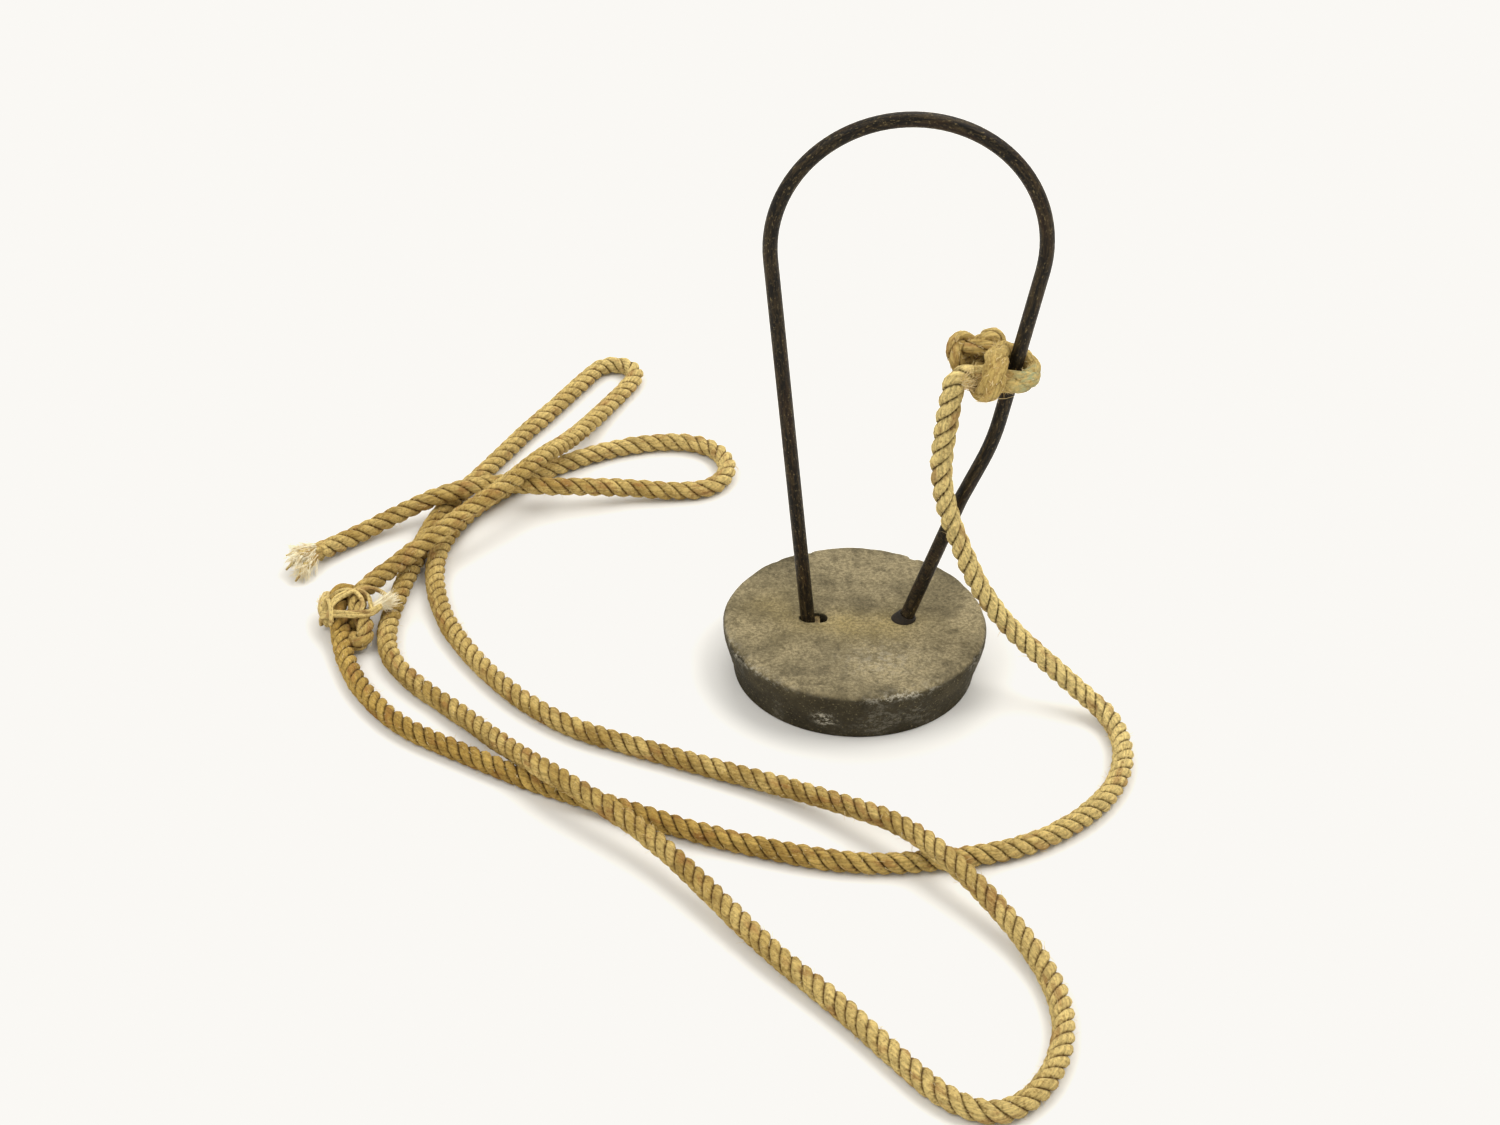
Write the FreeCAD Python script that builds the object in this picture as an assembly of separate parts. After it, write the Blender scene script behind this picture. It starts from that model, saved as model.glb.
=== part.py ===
"""Retrieving magnet: a cast shell round a ring magnet, a bent wire bail and a hitched laid rope.

Millimetres. The origin is the centre of the magnet's working face, which rests on the floor.
+Z is up, +X runs from the left leg of the bail to the right one, and +Y points to the back.
"""
import FreeCAD, Part
import math
import os

Vector = FreeCAD.Vector
UP = Vector(0, 0, 1)
INCH = 25.4

# ---- driving dimensions ---------------------------------------------------
DISC_RADIUS = 3.5 * INCH / 2
DISC_HEIGHT = 0.75 * INCH
WIRE_RADIUS = 3 / 16 * INCH / 2
ROPE_RADIUS = 1 / 4 * INCH / 2

FOOT_RADIUS = DISC_RADIUS - 2.2      # the side tapers in towards the working face
TOP_RADIUS = DISC_RADIUS - 0.3
FOOT_ROUND = 1.6
RIM_ROUND = 2.6
RIM_DROP = 3.2                       # the widest ring lies this far below the top
TOP_PLATE = 5.5
SHELL_WALL = 6.6
CORE_RADIUS = 20.0
RESIN_GAP = 1.6
MAGNET_RECESS = 0.8
RESIN_RECESS = 0.5
FIT_GAP = 0.05

BAIL_CENTRE = Vector(12.0, 0, 157.5)
BAIL_RADIUS = 42.3
LEFT_FOOT = Vector(-14.4, 0, 5.0)
RIGHT_FOOT = Vector(12.3, 0, 5.0)
LOW_KNEE = Vector(33.0, 0, 67.0)
HIGH_KNEE = Vector(42.2, 0, 89.0)
LOW_KNEE_RADIUS = 60.0
HIGH_KNEE_RADIUS = 80.0

SOCKET_GAP = 0.1
SOCKET_FLOOR = 4.6
SLOT_LENGTH = 9.2
SLOT_WIDTH = 5.4
SLOT_SHIFT = 1.7                     # the oblong hole reaches further on the leg's inner side
BRAZE_START = 1.4                    # from the left leg's middle to the nugget's near side
BRAZE_LENGTH = 2.6
BRAZE_DROP = 1.2                     # the nugget ends this far below the shell's top
COLLAR_FOOT_RADIUS = 4.8
COLLAR_TOP_RADIUS = 3.1
COLLAR_LENGTH = 3.6
COLLAR_SUNK = 2.0                    # part of the collar's cone that starts below the top
FRAY_END_RADIUS = 4.4

SHARE = 0.45                         # part of a run that each corner of a rope may use

# ---- routes of the rope, chosen by hand -----------------------------------
# First piece of rope: round the wire, then down to the floor and along it. Where one stretch
# hands over to the next, the shared point lies on the straight run between two corners.
HITCH_EXIT = (34.1, -4.1, 115.1)
WRAP_END = (40.8, 2.4, 121.0)
LANDING = (79.0, -28.6, 5.4)
JOIN_ENTRY = (-175.1, 7.0, 4.2)
WRAP_ROUTE = [
    HITCH_EXIT, (37.6, -4.3, 115.0), (42.2, -6.6, 115.0), (48.4, -6.8, 114.4), (53.0, -3.0, 114.2),
    (53.0, 3.1, 114.8), (48.4, 6.8, 116.6), (42.6, 5.9, 119.4), WRAP_END,
]
RIDING_ROUTE = [
    WRAP_END, (39.0, -1.1, 122.6), (38.8, -7.0, 122.6), (39.0, -11.8, 118.2), (39.0, -11.4, 111.4),
    (38.4, -5.6, 107.4), (36.8, 1.4, 108.4), (35.6, 5.0, 112.0),
]
FALL_ROUTE = [
    HITCH_EXIT, (30.6, -3.9, 115.2), (28.0, -4.3, 112.6), (27.1, -5.0, 106.0),
    (26.0, -6.2, 96.0), (24.9, -7.7, 83.0), (27.4, -9.2, 69.5), (33.0, -10.6, 55.0), (39.8, -13.0, 40.2),
    (49.4, -16.4, 28.0), (61.8, -20.2, 17.4), (74.0, -24.2, 7.6), LANDING,
]
SHORT_ROUTE = [
    LANDING, (84.0, -33.0, 3.2), (86.5, -50.0, 3.2), (82.0, -68.0, 3.2), (69.5, -85.0, 3.2),
    (50.0, -99.0, 3.2), (26.0, -105.0, 3.2), (0.0, -108.0, 3.2), (-26.0, -102.0, 3.2),
    (-52.0, -93.0, 3.2), (-78.0, -81.5, 3.2), (-104.0, -71.5, 3.2), (-129.0, -56.5, 3.2),
    (-150.0, -41.0, 3.2), (-165.5, -20.5, 3.2), (-173.4, -1.0, 3.2), JOIN_ENTRY,
]
# Second piece of rope: from the join, up the back, out to the front, and back to its frayed end.
JOIN_EXIT = (-161.7, 40.8, 9.6)
LONG_ROUTE = [
    JOIN_EXIT, (-156.0, 48.0, 11.0), (-146.0, 60.0, 13.2), (-135.5, 72.0, 15.6),
    (-125.0, 84.0, 17.2), (-112.5, 106.0, 17.2), (-105.5, 130.0, 8.2), (-97.5, 152.0, 4.4),
    (-91.4, 169.0, 3.2), (-86.8, 181.0, 3.2), (-83.8, 189.5, 3.2), (-85.6, 197.0, 3.2),
    (-92.8, 198.4, 3.2), (-98.0, 190.8, 3.2), (-106.3, 176.5, 3.2), (-115.0, 160.0, 3.2), (-123.0, 145.0, 3.2),
    (-130.5, 128.0, 3.2), (-139.0, 110.0, 3.2), (-148.0, 92.0, 3.2), (-153.0, 75.0, 3.2),
    (-155.5, 55.0, 3.2), (-158.5, 36.0, 3.2), (-160.5, 14.0, 3.2), (-158.0, -3.0, 3.2),
    (-147.0, -18.5, 3.2), (-131.0, -33.5, 3.2), (-114.0, -52.5, 5.2), (-98.5, -71.0, 10.3),
    (-83.0, -86.0, 10.3), (-66.5, -100.0, 8.6), (-52.5, -116.0, 6.8), (-40.0, -132.5, 5.4),
    (-26.0, -150.5, 4.4), (-9.0, -168.5, 3.6), (6.5, -188.5, 3.2), (19.5, -204.5, 3.2),
    (33.0, -210.5, 3.2), (45.0, -202.0, 3.2), (53.0, -186.0, 3.2), (55.0, -168.0, 3.2),
    (50.0, -149.0, 3.6), (40.0, -131.5, 6.6), (27.0, -114.5, 10.3), (12.0, -96.5, 10.3),
    (-5.5, -83.5, 7.0), (-25.0, -71.5, 4.4), (-47.0, -61.5, 3.3), (-71.5, -51.0, 3.2),
    (-94.0, -41.0, 3.2), (-112.0, -25.5, 3.2), (-127.0, -6.5, 3.2), (-139.5, 15.0, 3.2),
    (-146.5, 37.0, 3.2), (-148.5, 58.0, 3.2), (-144.0, 79.0, 3.2), (-132.5, 99.0, 3.2),
    (-115.5, 115.0, 3.2), (-97.5, 129.0, 3.2), (-77.0, 138.0, 3.2), (-58.5, 139.5, 3.2),
    (-46.5, 131.0, 3.2), (-43.5, 117.0, 3.2), (-50.5, 105.0, 3.2), (-65.0, 103.0, 3.4),
    (-81.0, 102.0, 5.4), (-96.5, 97.5, 8.6), (-113.0, 94.5, 10.3), (-132.0, 97.5, 10.3),
    (-150.0, 87.5, 10.6), (-161.5, 83.0, 7.0), (-171.0, 77.0, 4.6), (-181.5, 68.0, 3.4),
    (-190.5, 58.5, 4.4),
]
# The join: each rope's bight lies beside the other under a yarn lashing.
SHORT_BIGHT_ROUTE = [
    JOIN_ENTRY, (-176.6, 14.06, 5.08), (-178.2, 20.5, 6.4), (-177.8, 27.0, 7.4), (-175.0, 30.4, 6.4),
]
LONG_BIGHT_ROUTE = [
    JOIN_EXIT, (-167.4, 33.6, 8.2), (-169.6, 25.0, 6.8), (-169.0, 15.5, 5.6), (-167.4, 7.4, 4.8),
    (-167.2, 1.0, 4.2),
]
LASHING_CENTRE = Vector(-173.2, 19.0, 6.3)
LASHING_WIDTH = 19.2
LASHING_HEIGHT = 12.2
LASHING_DEPTH = 6.0
LASHING_YARN = 1.5
LEFT_FRAY = [(-182.4, 25.0, 5.8), (-187.0, 24.4, 4.8)]
RIGHT_FRAY = [(-164.8, 24.5, 8.8), (-158.6, 25.5, 9.8)]
LONG_END_FRAY = [(-190.5, 58.5, 4.4), (-197.2, 51.43, 5.144)]

STOPPER_CENTRE = Vector(35.0, 9.4, 117.0)
STOPPER_AXIS = Vector(0, 0.83, -0.56)
STOPPER_RING = 3.3
STOPPER_TUBE = 3.1
STOPPER_SPREAD = 2.7                 # each of its two loops lies this far from the middle


def rounded_path(points, radii=None):
    """Straight runs joined by tangent arcs; returns the wire, its length and the arc radii."""
    corners = [Vector(*point) for point in points]
    edges = []
    used_radii = []
    start = corners[0]
    for index in range(1, len(corners) - 1):
        before, corner, after = corners[index - 1:index + 2]
        back = (before - corner).normalize()
        ahead = (after - corner).normalize()
        half_turn = (math.pi - back.getAngle(ahead)) / 2
        if radii:
            radius = radii[index - 1]
            reach = radius * math.tan(half_turn)
        else:
            reach = SHARE * min((before - corner).Length, (after - corner).Length)
            radius = reach / math.tan(half_turn)
        inward = (back + ahead).normalize()
        middle = corner + inward * (radius / math.cos(half_turn) - radius)
        arc_start = corner + back * reach
        arc_end = corner + ahead * reach
        edges.append(Part.LineSegment(start, arc_start).toShape())
        edges.append(Part.Arc(arc_start, middle, arc_end).toShape())
        used_radii.append(radius)
        start = arc_end
    edges.append(Part.LineSegment(start, corners[-1]).toShape())
    length = sum(edge.Length for edge in edges)
    return Part.Wire(edges), length, used_radii


def tube_along(wire, radius):
    """A round tube along a wire, square to it at both ends."""
    first = wire.Edges[0]
    direction = first.tangentAt(first.FirstParameter)
    start = first.valueAt(first.FirstParameter)
    profile = Part.Wire(Part.makeCircle(radius, start, direction))
    return wire.makePipeShell([profile], True, False)


def rope_tube(name, points):
    """A rope's plain solid, with its radii and volume printed for checking."""
    wire, length, radii = rounded_path(points)
    tube = tube_along(wire, ROPE_RADIUS)
    section = math.pi * ROPE_RADIUS ** 2
    runs = [(Vector(*b) - Vector(*a)).Length for a, b in zip(points, points[1:])]
    print(f"{name}: length {length:.1f}, runs {min(runs):.1f} to {max(runs):.1f}, "
          f"smallest radius {min(radii):.1f}, volume ratio {tube.Volume / (section * length):.4f}, "
          f"valid {tube.isValid()}")
    return tube


def tangent_point(outside, centre, radius, side):
    """Where the line from a point outside touches a circle in the XZ plane, on the given side."""
    offset = outside - centre
    swing = math.acos(radius / offset.Length) * side
    direction = FreeCAD.Rotation(Vector(0, 1, 0), math.degrees(swing)).multVec(offset.normalize())
    return centre + direction * radius


def leg_direction(foot, head):
    return (head - foot).normalize()


def leg_point(foot, direction, height):
    """The point of a leg's centre line at a height."""
    return foot + direction * ((height - foot.z) / direction.z)


def slanted_cylinder(foot, direction, radius, low, high):
    """A cylinder along a leg between two heights of its centre line."""
    start = leg_point(foot, direction, low)
    end = leg_point(foot, direction, high)
    return Part.makeCylinder(radius, (end - start).Length, start, direction)


# ---- bail ------------------------------------------------------------------
left_shoulder = tangent_point(LEFT_FOOT, BAIL_CENTRE, BAIL_RADIUS, 1)
right_shoulder = tangent_point(HIGH_KNEE, BAIL_CENTRE, BAIL_RADIUS, -1)
crown = BAIL_CENTRE + UP * BAIL_RADIUS
left_lean = leg_direction(LEFT_FOOT, left_shoulder)
right_lean = leg_direction(RIGHT_FOOT, LOW_KNEE)


def make_bail():
    """One rod: left leg, crown arc and right leg with its two gentle knees."""
    knees, _, _ = rounded_path(
        [right_shoulder, HIGH_KNEE, LOW_KNEE, RIGHT_FOOT], [HIGH_KNEE_RADIUS, LOW_KNEE_RADIUS])
    edges = [Part.LineSegment(LEFT_FOOT, left_shoulder).toShape(),
             Part.Arc(left_shoulder, crown, right_shoulder).toShape()]
    return tube_along(Part.Wire(edges + knees.Edges), WIRE_RADIUS)


# ---- magnet ----------------------------------------------------------------
cavity_radius = DISC_RADIUS - SHELL_WALL
cavity_top = DISC_HEIGHT - TOP_PLATE


def make_slot(width, length, low, high):
    """The oblong hole's space round the left leg, rounded at both ends."""
    middle = leg_point(LEFT_FOOT, left_lean, (low + high) / 2)
    half_run = (length - width) / 2
    centre_x = middle.x + SLOT_SHIFT
    slot = Part.makeBox(2 * half_run, width, high - low, Vector(centre_x - half_run, -width / 2, low))
    for end in (-1, 1):
        slot = slot.fuse(Part.makeCylinder(width / 2, high - low, Vector(centre_x + end * half_run, 0, low)))
    return slot.removeSplitter()


def make_shell():
    """The cast shell: tapered side, rounded rims, a recess below and two holes for the legs."""
    outline = [(0, cavity_top), (cavity_radius, cavity_top), (cavity_radius, 0), (FOOT_RADIUS, 0),
               (DISC_RADIUS, DISC_HEIGHT - RIM_DROP), (TOP_RADIUS, DISC_HEIGHT), (0, DISC_HEIGHT)]
    corners = [Vector(x, 0, z) for x, z in outline]
    face = Part.Face(Part.makePolygon(corners + corners[:1]))
    shell = face.revolve(Vector(0, 0, 0), UP, 360)
    foot_edges = [e for e in shell.Edges if is_circle(e, FOOT_RADIUS, 0)]
    shell = shell.makeFillet(FOOT_ROUND, foot_edges)
    rim_edges = [e for e in shell.Edges if is_circle(e, TOP_RADIUS, DISC_HEIGHT)]
    shell = shell.makeFillet(RIM_ROUND, rim_edges)
    shell = shell.cut(make_slot(SLOT_WIDTH, SLOT_LENGTH, cavity_top - 1, DISC_HEIGHT + 1))
    right_hole = slanted_cylinder(
        RIGHT_FOOT, right_lean, WIRE_RADIUS + SOCKET_GAP, cavity_top - 2, DISC_HEIGHT + 2)
    return shell.cut(right_hole)


def is_circle(edge, radius, height):
    """True for a horizontal circle of this radius at this height."""
    if not isinstance(edge.Curve, Part.Circle):
        return False
    return abs(edge.Curve.Radius - radius) < 1e-4 and abs(edge.Curve.Center.z - height) < 1e-4


def make_core():
    """The steel pole in the middle, with a blind socket for each leg."""
    core = Part.makeCylinder(CORE_RADIUS, cavity_top)
    for foot, lean in ((LEFT_FOOT, left_lean), (RIGHT_FOOT, right_lean)):
        socket = slanted_cylinder(foot, lean, WIRE_RADIUS + SOCKET_GAP, SOCKET_FLOOR, cavity_top + 2)
        core = core.cut(socket)
    return core


def make_ring(inner, outer, low, high):
    """A plain ring between two radii and two heights."""
    height = high - low
    ring = Part.makeCylinder(outer, height, Vector(0, 0, low))
    return ring.cut(Part.makeCylinder(inner, height, Vector(0, 0, low)))


def make_left_braze():
    """The nugget of brazing metal left in the inner end of the oblong hole."""
    low, high = cavity_top + 0.4, DISC_HEIGHT - BRAZE_DROP
    nugget = make_slot(SLOT_WIDTH - 0.2, SLOT_LENGTH - 0.2, low, high)
    leg = slanted_cylinder(LEFT_FOOT, left_lean, WIRE_RADIUS + SOCKET_GAP, low - 2, high + 2)
    leg_end = leg_point(LEFT_FOOT, left_lean, high)
    near = Vector(leg_end.x + BRAZE_START, -SLOT_WIDTH / 2, low)
    keep = Part.makeBox(BRAZE_LENGTH, SLOT_WIDTH, high - low, near)
    return nugget.common(keep).cut(leg)


def make_right_collar():
    """The rusted collar of brazing metal round the right leg, on the shell's top."""
    top = leg_point(RIGHT_FOOT, right_lean, DISC_HEIGHT)
    start = top - right_lean * COLLAR_SUNK
    collar = Part.makeCone(COLLAR_FOOT_RADIUS, COLLAR_TOP_RADIUS, COLLAR_LENGTH, start, right_lean)
    collar = collar.cut(slanted_cylinder(
        RIGHT_FOOT, right_lean, WIRE_RADIUS + SOCKET_GAP, DISC_HEIGHT - 6, DISC_HEIGHT + 6))
    above = Part.makeBox(14, 14, 6, Vector(top.x - 7, -7, DISC_HEIGHT))
    return collar.common(above)


# ---- rope work ---------------------------------------------------------------
def make_stopper():
    """The stopper knot's outer shape: two small loops of rope, side by side and run together."""
    axis = Vector(STOPPER_AXIS).normalize()
    spread = Vector(STOPPER_SPREAD, 0, 0)
    left = Part.makeTorus(STOPPER_RING, STOPPER_TUBE, STOPPER_CENTRE - spread, axis)
    right = Part.makeTorus(STOPPER_RING, STOPPER_TUBE, STOPPER_CENTRE + spread, axis)
    return left.fuse(right)


def make_obround(width, height, depth, centre):
    """A flat-sided oval bar along Y, centred on a point."""
    radius = height / 2
    half_run = width / 2 - radius
    front = centre - Vector(0, depth / 2, 0)
    bar = Part.makeBox(2 * half_run, depth, height, front - Vector(half_run, 0, radius))
    for end in (-1, 1):
        pivot = front + Vector(end * half_run, 0, 0)
        bar = bar.fuse(Part.makeCylinder(radius, depth, pivot, Vector(0, 1, 0)))
    return bar.removeSplitter()


def make_lashing():
    """The yarn band that binds the two bights."""
    outer = make_obround(LASHING_WIDTH, LASHING_HEIGHT, LASHING_DEPTH, LASHING_CENTRE)
    inner = make_obround(LASHING_WIDTH - 2 * LASHING_YARN, LASHING_HEIGHT - 2 * LASHING_YARN,
                         LASHING_DEPTH + 2, LASHING_CENTRE)
    return outer.cut(inner)


def make_fray(ends, start_radius, end_radius):
    """A frayed end's outer shape: a short cone that opens outwards."""
    start, end = (Vector(*point) for point in ends)
    return Part.makeCone(start_radius, end_radius, (end - start).Length, start, end - start)


solids = {
    "magnet_shell": make_shell(),
    "pole_core": make_core(),
    "ring_magnet": make_ring(CORE_RADIUS + RESIN_GAP, cavity_radius - RESIN_GAP,
                             MAGNET_RECESS, cavity_top),
    "inner_resin": make_ring(CORE_RADIUS + FIT_GAP, CORE_RADIUS + RESIN_GAP - FIT_GAP,
                             RESIN_RECESS, cavity_top),
    "outer_resin": make_ring(cavity_radius - RESIN_GAP + FIT_GAP, cavity_radius - FIT_GAP,
                             RESIN_RECESS, cavity_top),
    "bail": make_bail(),
    "left_braze": make_left_braze(),
    "right_collar": make_right_collar(),
    "hitch_wrap": rope_tube("hitch_wrap", WRAP_ROUTE),
    "hitch_riding_turn": rope_tube("hitch_riding_turn", RIDING_ROUTE),
    "stopper_knot": make_stopper(),
    "rope_fall": rope_tube("rope_fall", FALL_ROUTE),
    "rope_short": rope_tube("rope_short", SHORT_ROUTE),
    "rope_long": rope_tube("rope_long", LONG_ROUTE),
    "join_bight_short": rope_tube("join_bight_short", SHORT_BIGHT_ROUTE),
    "join_bight_long": rope_tube("join_bight_long", LONG_BIGHT_ROUTE),
    "join_lashing": make_lashing(),
    "join_fray_left": make_fray(LEFT_FRAY, 2.0, 3.2),
    "join_fray_right": make_fray(RIGHT_FRAY, 1.5, 2.4),
    "long_end_fray": make_fray(LONG_END_FRAY, ROPE_RADIUS, FRAY_END_RADIUS),
}

os.makedirs("parts", exist_ok=True)
for name, solid in solids.items():
    box = solid.BoundBox
    print(f"{name}: solids {len(solid.Solids)}, valid {solid.isValid()}, volume {solid.Volume:.0f}, "
          f"x {box.XMin:.1f}..{box.XMax:.1f}, y {box.YMin:.1f}..{box.YMax:.1f}, "
          f"z {box.ZMin:.2f}..{box.ZMax:.1f}")
    solid.exportStep(f"parts/{name}.step")
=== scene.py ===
"""Retrieving magnet: the visual model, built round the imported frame.

Metres, in the part's own frame: the origin is the centre of the magnet's underside, +Z is up
and the camera looks along +Y. Rope routes are given in millimetres and scaled by MM.
"""
import math
import random

import bpy
import numpy as np
from mathutils import Matrix, Vector, noise


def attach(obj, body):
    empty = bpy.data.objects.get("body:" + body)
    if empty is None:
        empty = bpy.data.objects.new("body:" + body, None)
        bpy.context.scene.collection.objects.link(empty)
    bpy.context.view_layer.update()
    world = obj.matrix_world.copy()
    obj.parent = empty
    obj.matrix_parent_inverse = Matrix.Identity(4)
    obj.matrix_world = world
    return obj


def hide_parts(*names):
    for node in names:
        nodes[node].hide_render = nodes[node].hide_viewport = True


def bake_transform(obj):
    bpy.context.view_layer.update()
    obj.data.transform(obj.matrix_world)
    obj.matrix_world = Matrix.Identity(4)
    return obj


MM = 0.001
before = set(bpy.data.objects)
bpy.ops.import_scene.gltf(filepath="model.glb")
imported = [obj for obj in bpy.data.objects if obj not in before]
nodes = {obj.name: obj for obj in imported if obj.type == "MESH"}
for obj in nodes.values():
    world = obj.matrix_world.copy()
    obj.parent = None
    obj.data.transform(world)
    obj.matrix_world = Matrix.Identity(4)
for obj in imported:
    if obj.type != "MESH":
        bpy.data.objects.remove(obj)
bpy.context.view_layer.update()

# ---- sizes -------------------------------------------------------------------
ROPE_RADIUS = 3.44                   # over the tops of the strands, mm
LAY_PITCH = 17.4                     # one full turn of a strand, mm
STRANDS = 3
STRAND_STEPS = 18                    # corners round each strand
RING_STEP = 0.75                     # between rings of a rope's mesh, mm
FIBRE_LUMPS = 0.07                   # roughness of the strands, mm
GROOVE_DEPTH = 0.34                  # share of the rope's radius
LOBE_ROUNDNESS = 0.62                # a lower power makes fuller strands
SLOW_WOBBLE = 0.05                   # how much the thickness drifts, as a share
QUICK_WOBBLE = 0.03
FLOOR_GAP = 0.03                     # lowest point of any rope, mm
ROUTE_STEPS = 24                     # points from one of a route's corners to the next
FUZZ_SHORTEST = 0.8                  # the shortest stray fibres, mm
VIEW_PITCH = math.radians(34.0)      # how far the camera looks down

# ---- routes of the rope, mm -----------------------------------------------------
HITCH_EXIT = (34.1, -4.1, 115.1)
WRAP_ROUTE = [
    HITCH_EXIT, (37.6, -4.3, 115.0), (42.2, -6.6, 115.0), (48.4, -6.8, 114.4), (53.0, -3.0, 114.2),
    (53.0, 3.1, 114.8), (48.4, 6.8, 116.6), (43.0, 5.6, 118.6), (41.4, 0.4, 121.0),
    (40.8, -6.0, 121.9), (39.9, -10.8, 119.4), (38.8, -11.8, 115.2), (37.8, -9.6, 111.4),
    (37.0, -4.4, 109.8), (36.2, 1.2, 110.2), (35.6, 5.0, 112.6),
]
SHORT_ROUTE = [
    HITCH_EXIT, (30.6, -3.9, 115.2), (28.0, -4.3, 112.6), (27.1, -5.0, 106.0),
    (26.0, -6.2, 96.0), (24.9, -7.7, 83.0), (27.4, -9.2, 69.5), (33.0, -10.6, 55.0),
    (39.8, -13.0, 40.2), (49.4, -16.4, 28.0), (61.8, -20.2, 17.4), (74.0, -24.2, 7.6),
    (84.0, -33.0, 3.2), (86.5, -50.0, 3.2), (82.0, -68.0, 3.2), (69.5, -85.0, 3.2),
    (50.0, -99.0, 3.2), (26.0, -105.0, 3.2), (0.0, -108.0, 3.2), (-26.0, -102.0, 3.2),
    (-52.0, -93.0, 3.2), (-78.0, -80.6, 3.2), (-103.6, -69.4, 3.2), (-128.2, -54.4, 3.2),
    (-150.0, -41.0, 3.2), (-165.5, -20.5, 3.2), (-173.4, -1.0, 3.2), (-175.1, 7.0, 4.2),
]
LONG_ROUTE = [
    (-161.7, 40.8, 9.6), (-156.0, 48.0, 11.0), (-146.0, 60.0, 13.2), (-135.5, 72.0, 15.6),
    (-125.0, 84.0, 17.2), (-112.5, 106.0, 17.2), (-105.5, 130.0, 8.2), (-97.5, 152.0, 4.4),
    (-91.0, 168.0, 3.2), (-85.6, 179.6, 3.2), (-81.8, 190.0, 3.2), (-84.2, 196.2, 3.2),
    (-90.4, 199.1, 3.2), (-96.8, 197.1, 3.2), (-101.2, 188.6, 3.2), (-107.6, 175.6, 3.2),
    (-115.0, 160.0, 3.2), (-123.0, 145.0, 3.2),
    (-130.5, 128.0, 3.2), (-139.0, 110.0, 3.2), (-148.0, 92.0, 3.2), (-153.0, 75.0, 3.2),
    (-155.5, 55.0, 3.2), (-158.5, 36.0, 3.2), (-160.5, 14.0, 3.2), (-158.0, -3.0, 3.2),
    (-147.0, -18.5, 3.2), (-131.0, -33.5, 3.2), (-114.0, -54.0, 5.6), (-98.5, -72.6, 10.3),
    (-83.0, -86.0, 10.3), (-66.5, -100.0, 8.6), (-52.5, -116.0, 6.8), (-40.0, -132.5, 5.4),
    (-26.0, -150.5, 4.4), (-9.0, -168.5, 3.6), (6.5, -188.5, 3.2), (19.5, -204.5, 3.2),
    (33.0, -210.5, 3.2), (45.0, -202.0, 3.2), (53.0, -186.0, 3.2), (55.0, -168.0, 3.2),
    (50.0, -149.0, 3.6), (40.0, -131.5, 6.6), (27.0, -114.5, 10.3), (12.0, -96.5, 10.3),
    (-5.5, -83.5, 7.0), (-25.0, -71.5, 4.4), (-47.0, -61.5, 3.3), (-71.5, -51.0, 3.2),
    (-94.0, -41.0, 3.2), (-112.0, -25.5, 3.2), (-127.0, -6.5, 3.2), (-139.5, 15.0, 3.2),
    (-146.5, 37.0, 3.2), (-148.5, 58.0, 3.2), (-144.0, 79.0, 3.2), (-132.5, 99.0, 3.2),
    (-115.5, 115.0, 3.2), (-97.5, 129.0, 3.2), (-77.0, 138.0, 3.2), (-58.5, 139.5, 3.2),
    (-46.5, 131.0, 3.2), (-43.5, 117.0, 3.2), (-50.5, 105.0, 3.2), (-65.0, 103.0, 3.4),
    (-81.0, 102.0, 5.4), (-96.5, 97.5, 8.6), (-113.0, 94.5, 10.3), (-132.0, 97.5, 10.3),
    (-150.0, 87.5, 10.6), (-161.5, 83.0, 7.0), (-171.0, 77.0, 4.6), (-181.5, 68.0, 3.4),
    (-190.5, 58.5, 4.4),
]
SHORT_BIGHT_ROUTE = [
    (-175.1, 7.0, 4.2), (-176.6, 14.06, 5.3), (-178.2, 21.0, 7.0), (-178.4, 28.2, 8.0),
    (-175.0, 30.6, 6.8), (-172.0, 26.0, 4.6), (-172.2, 19.0, 3.6), (-171.4, 13.0, 3.4),
]
LONG_BIGHT_ROUTE = [
    (-161.7, 40.8, 9.6), (-166.4, 34.6, 9.2), (-170.4, 27.4, 8.8), (-171.6, 20.0, 8.8),
    (-168.6, 14.0, 7.6), (-166.8, 9.6, 6.4), (-166.4, 4.8, 5.2), (-169.0, 2.6, 4.2),
    (-171.4, 6.4, 3.6),
]
END_STRANDS = [
    [(-188.4, 60.4, 5.0), (-192.4, 57.2, 6.6), (-196.8, 55.2, 6.8), (-201.4, 54.8, 5.2)],
    [(-188.6, 60.2, 4.8), (-192.6, 55.8, 6.8), (-196.6, 51.4, 6.8), (-200.4, 47.6, 3.8)],
    [(-188.6, 60.0, 3.8), (-191.8, 54.8, 4.4), (-194.4, 48.4, 3.4), (-196.4, 43.0, 2.2)],
]
STOPPER_CENTRE = (35.0, 7.4, 118.0)
# Each point is right, up and towards the camera from the stopper's middle.
STOPPER_ROUTE = [
    (0.5, -6.0, 1.0), (4.5, -4.0, -2.5), (7.2, -0.5, -1.5), (7.8, 3.4, 0.2), (5.2, 5.0, 1.6),
    (2.2, 3.0, 0.6), (0.0, 1.2, -2.2), (-1.8, 3.0, -0.8), (-4.4, 4.2, 1.2), (-6.8, 1.4, 2.6),
    (-6.4, -3.4, 2.4), (-4.0, -5.6, -0.8), (-1.0, -3.4, -3.6), (-3.2, 0.2, -1.0),
    (-1.8, 0.8, 2.6), (1.8, 0.5, 3.4), (5.0, 0.9, 2.4), (7.0, -1.2, -0.8), (4.6, -3.6, -3.4),
    (0.5, -3.4, -4.0), (-3.5, -2.0, -4.2),
]
STOPPER_RADIUS = 2.65
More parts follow.
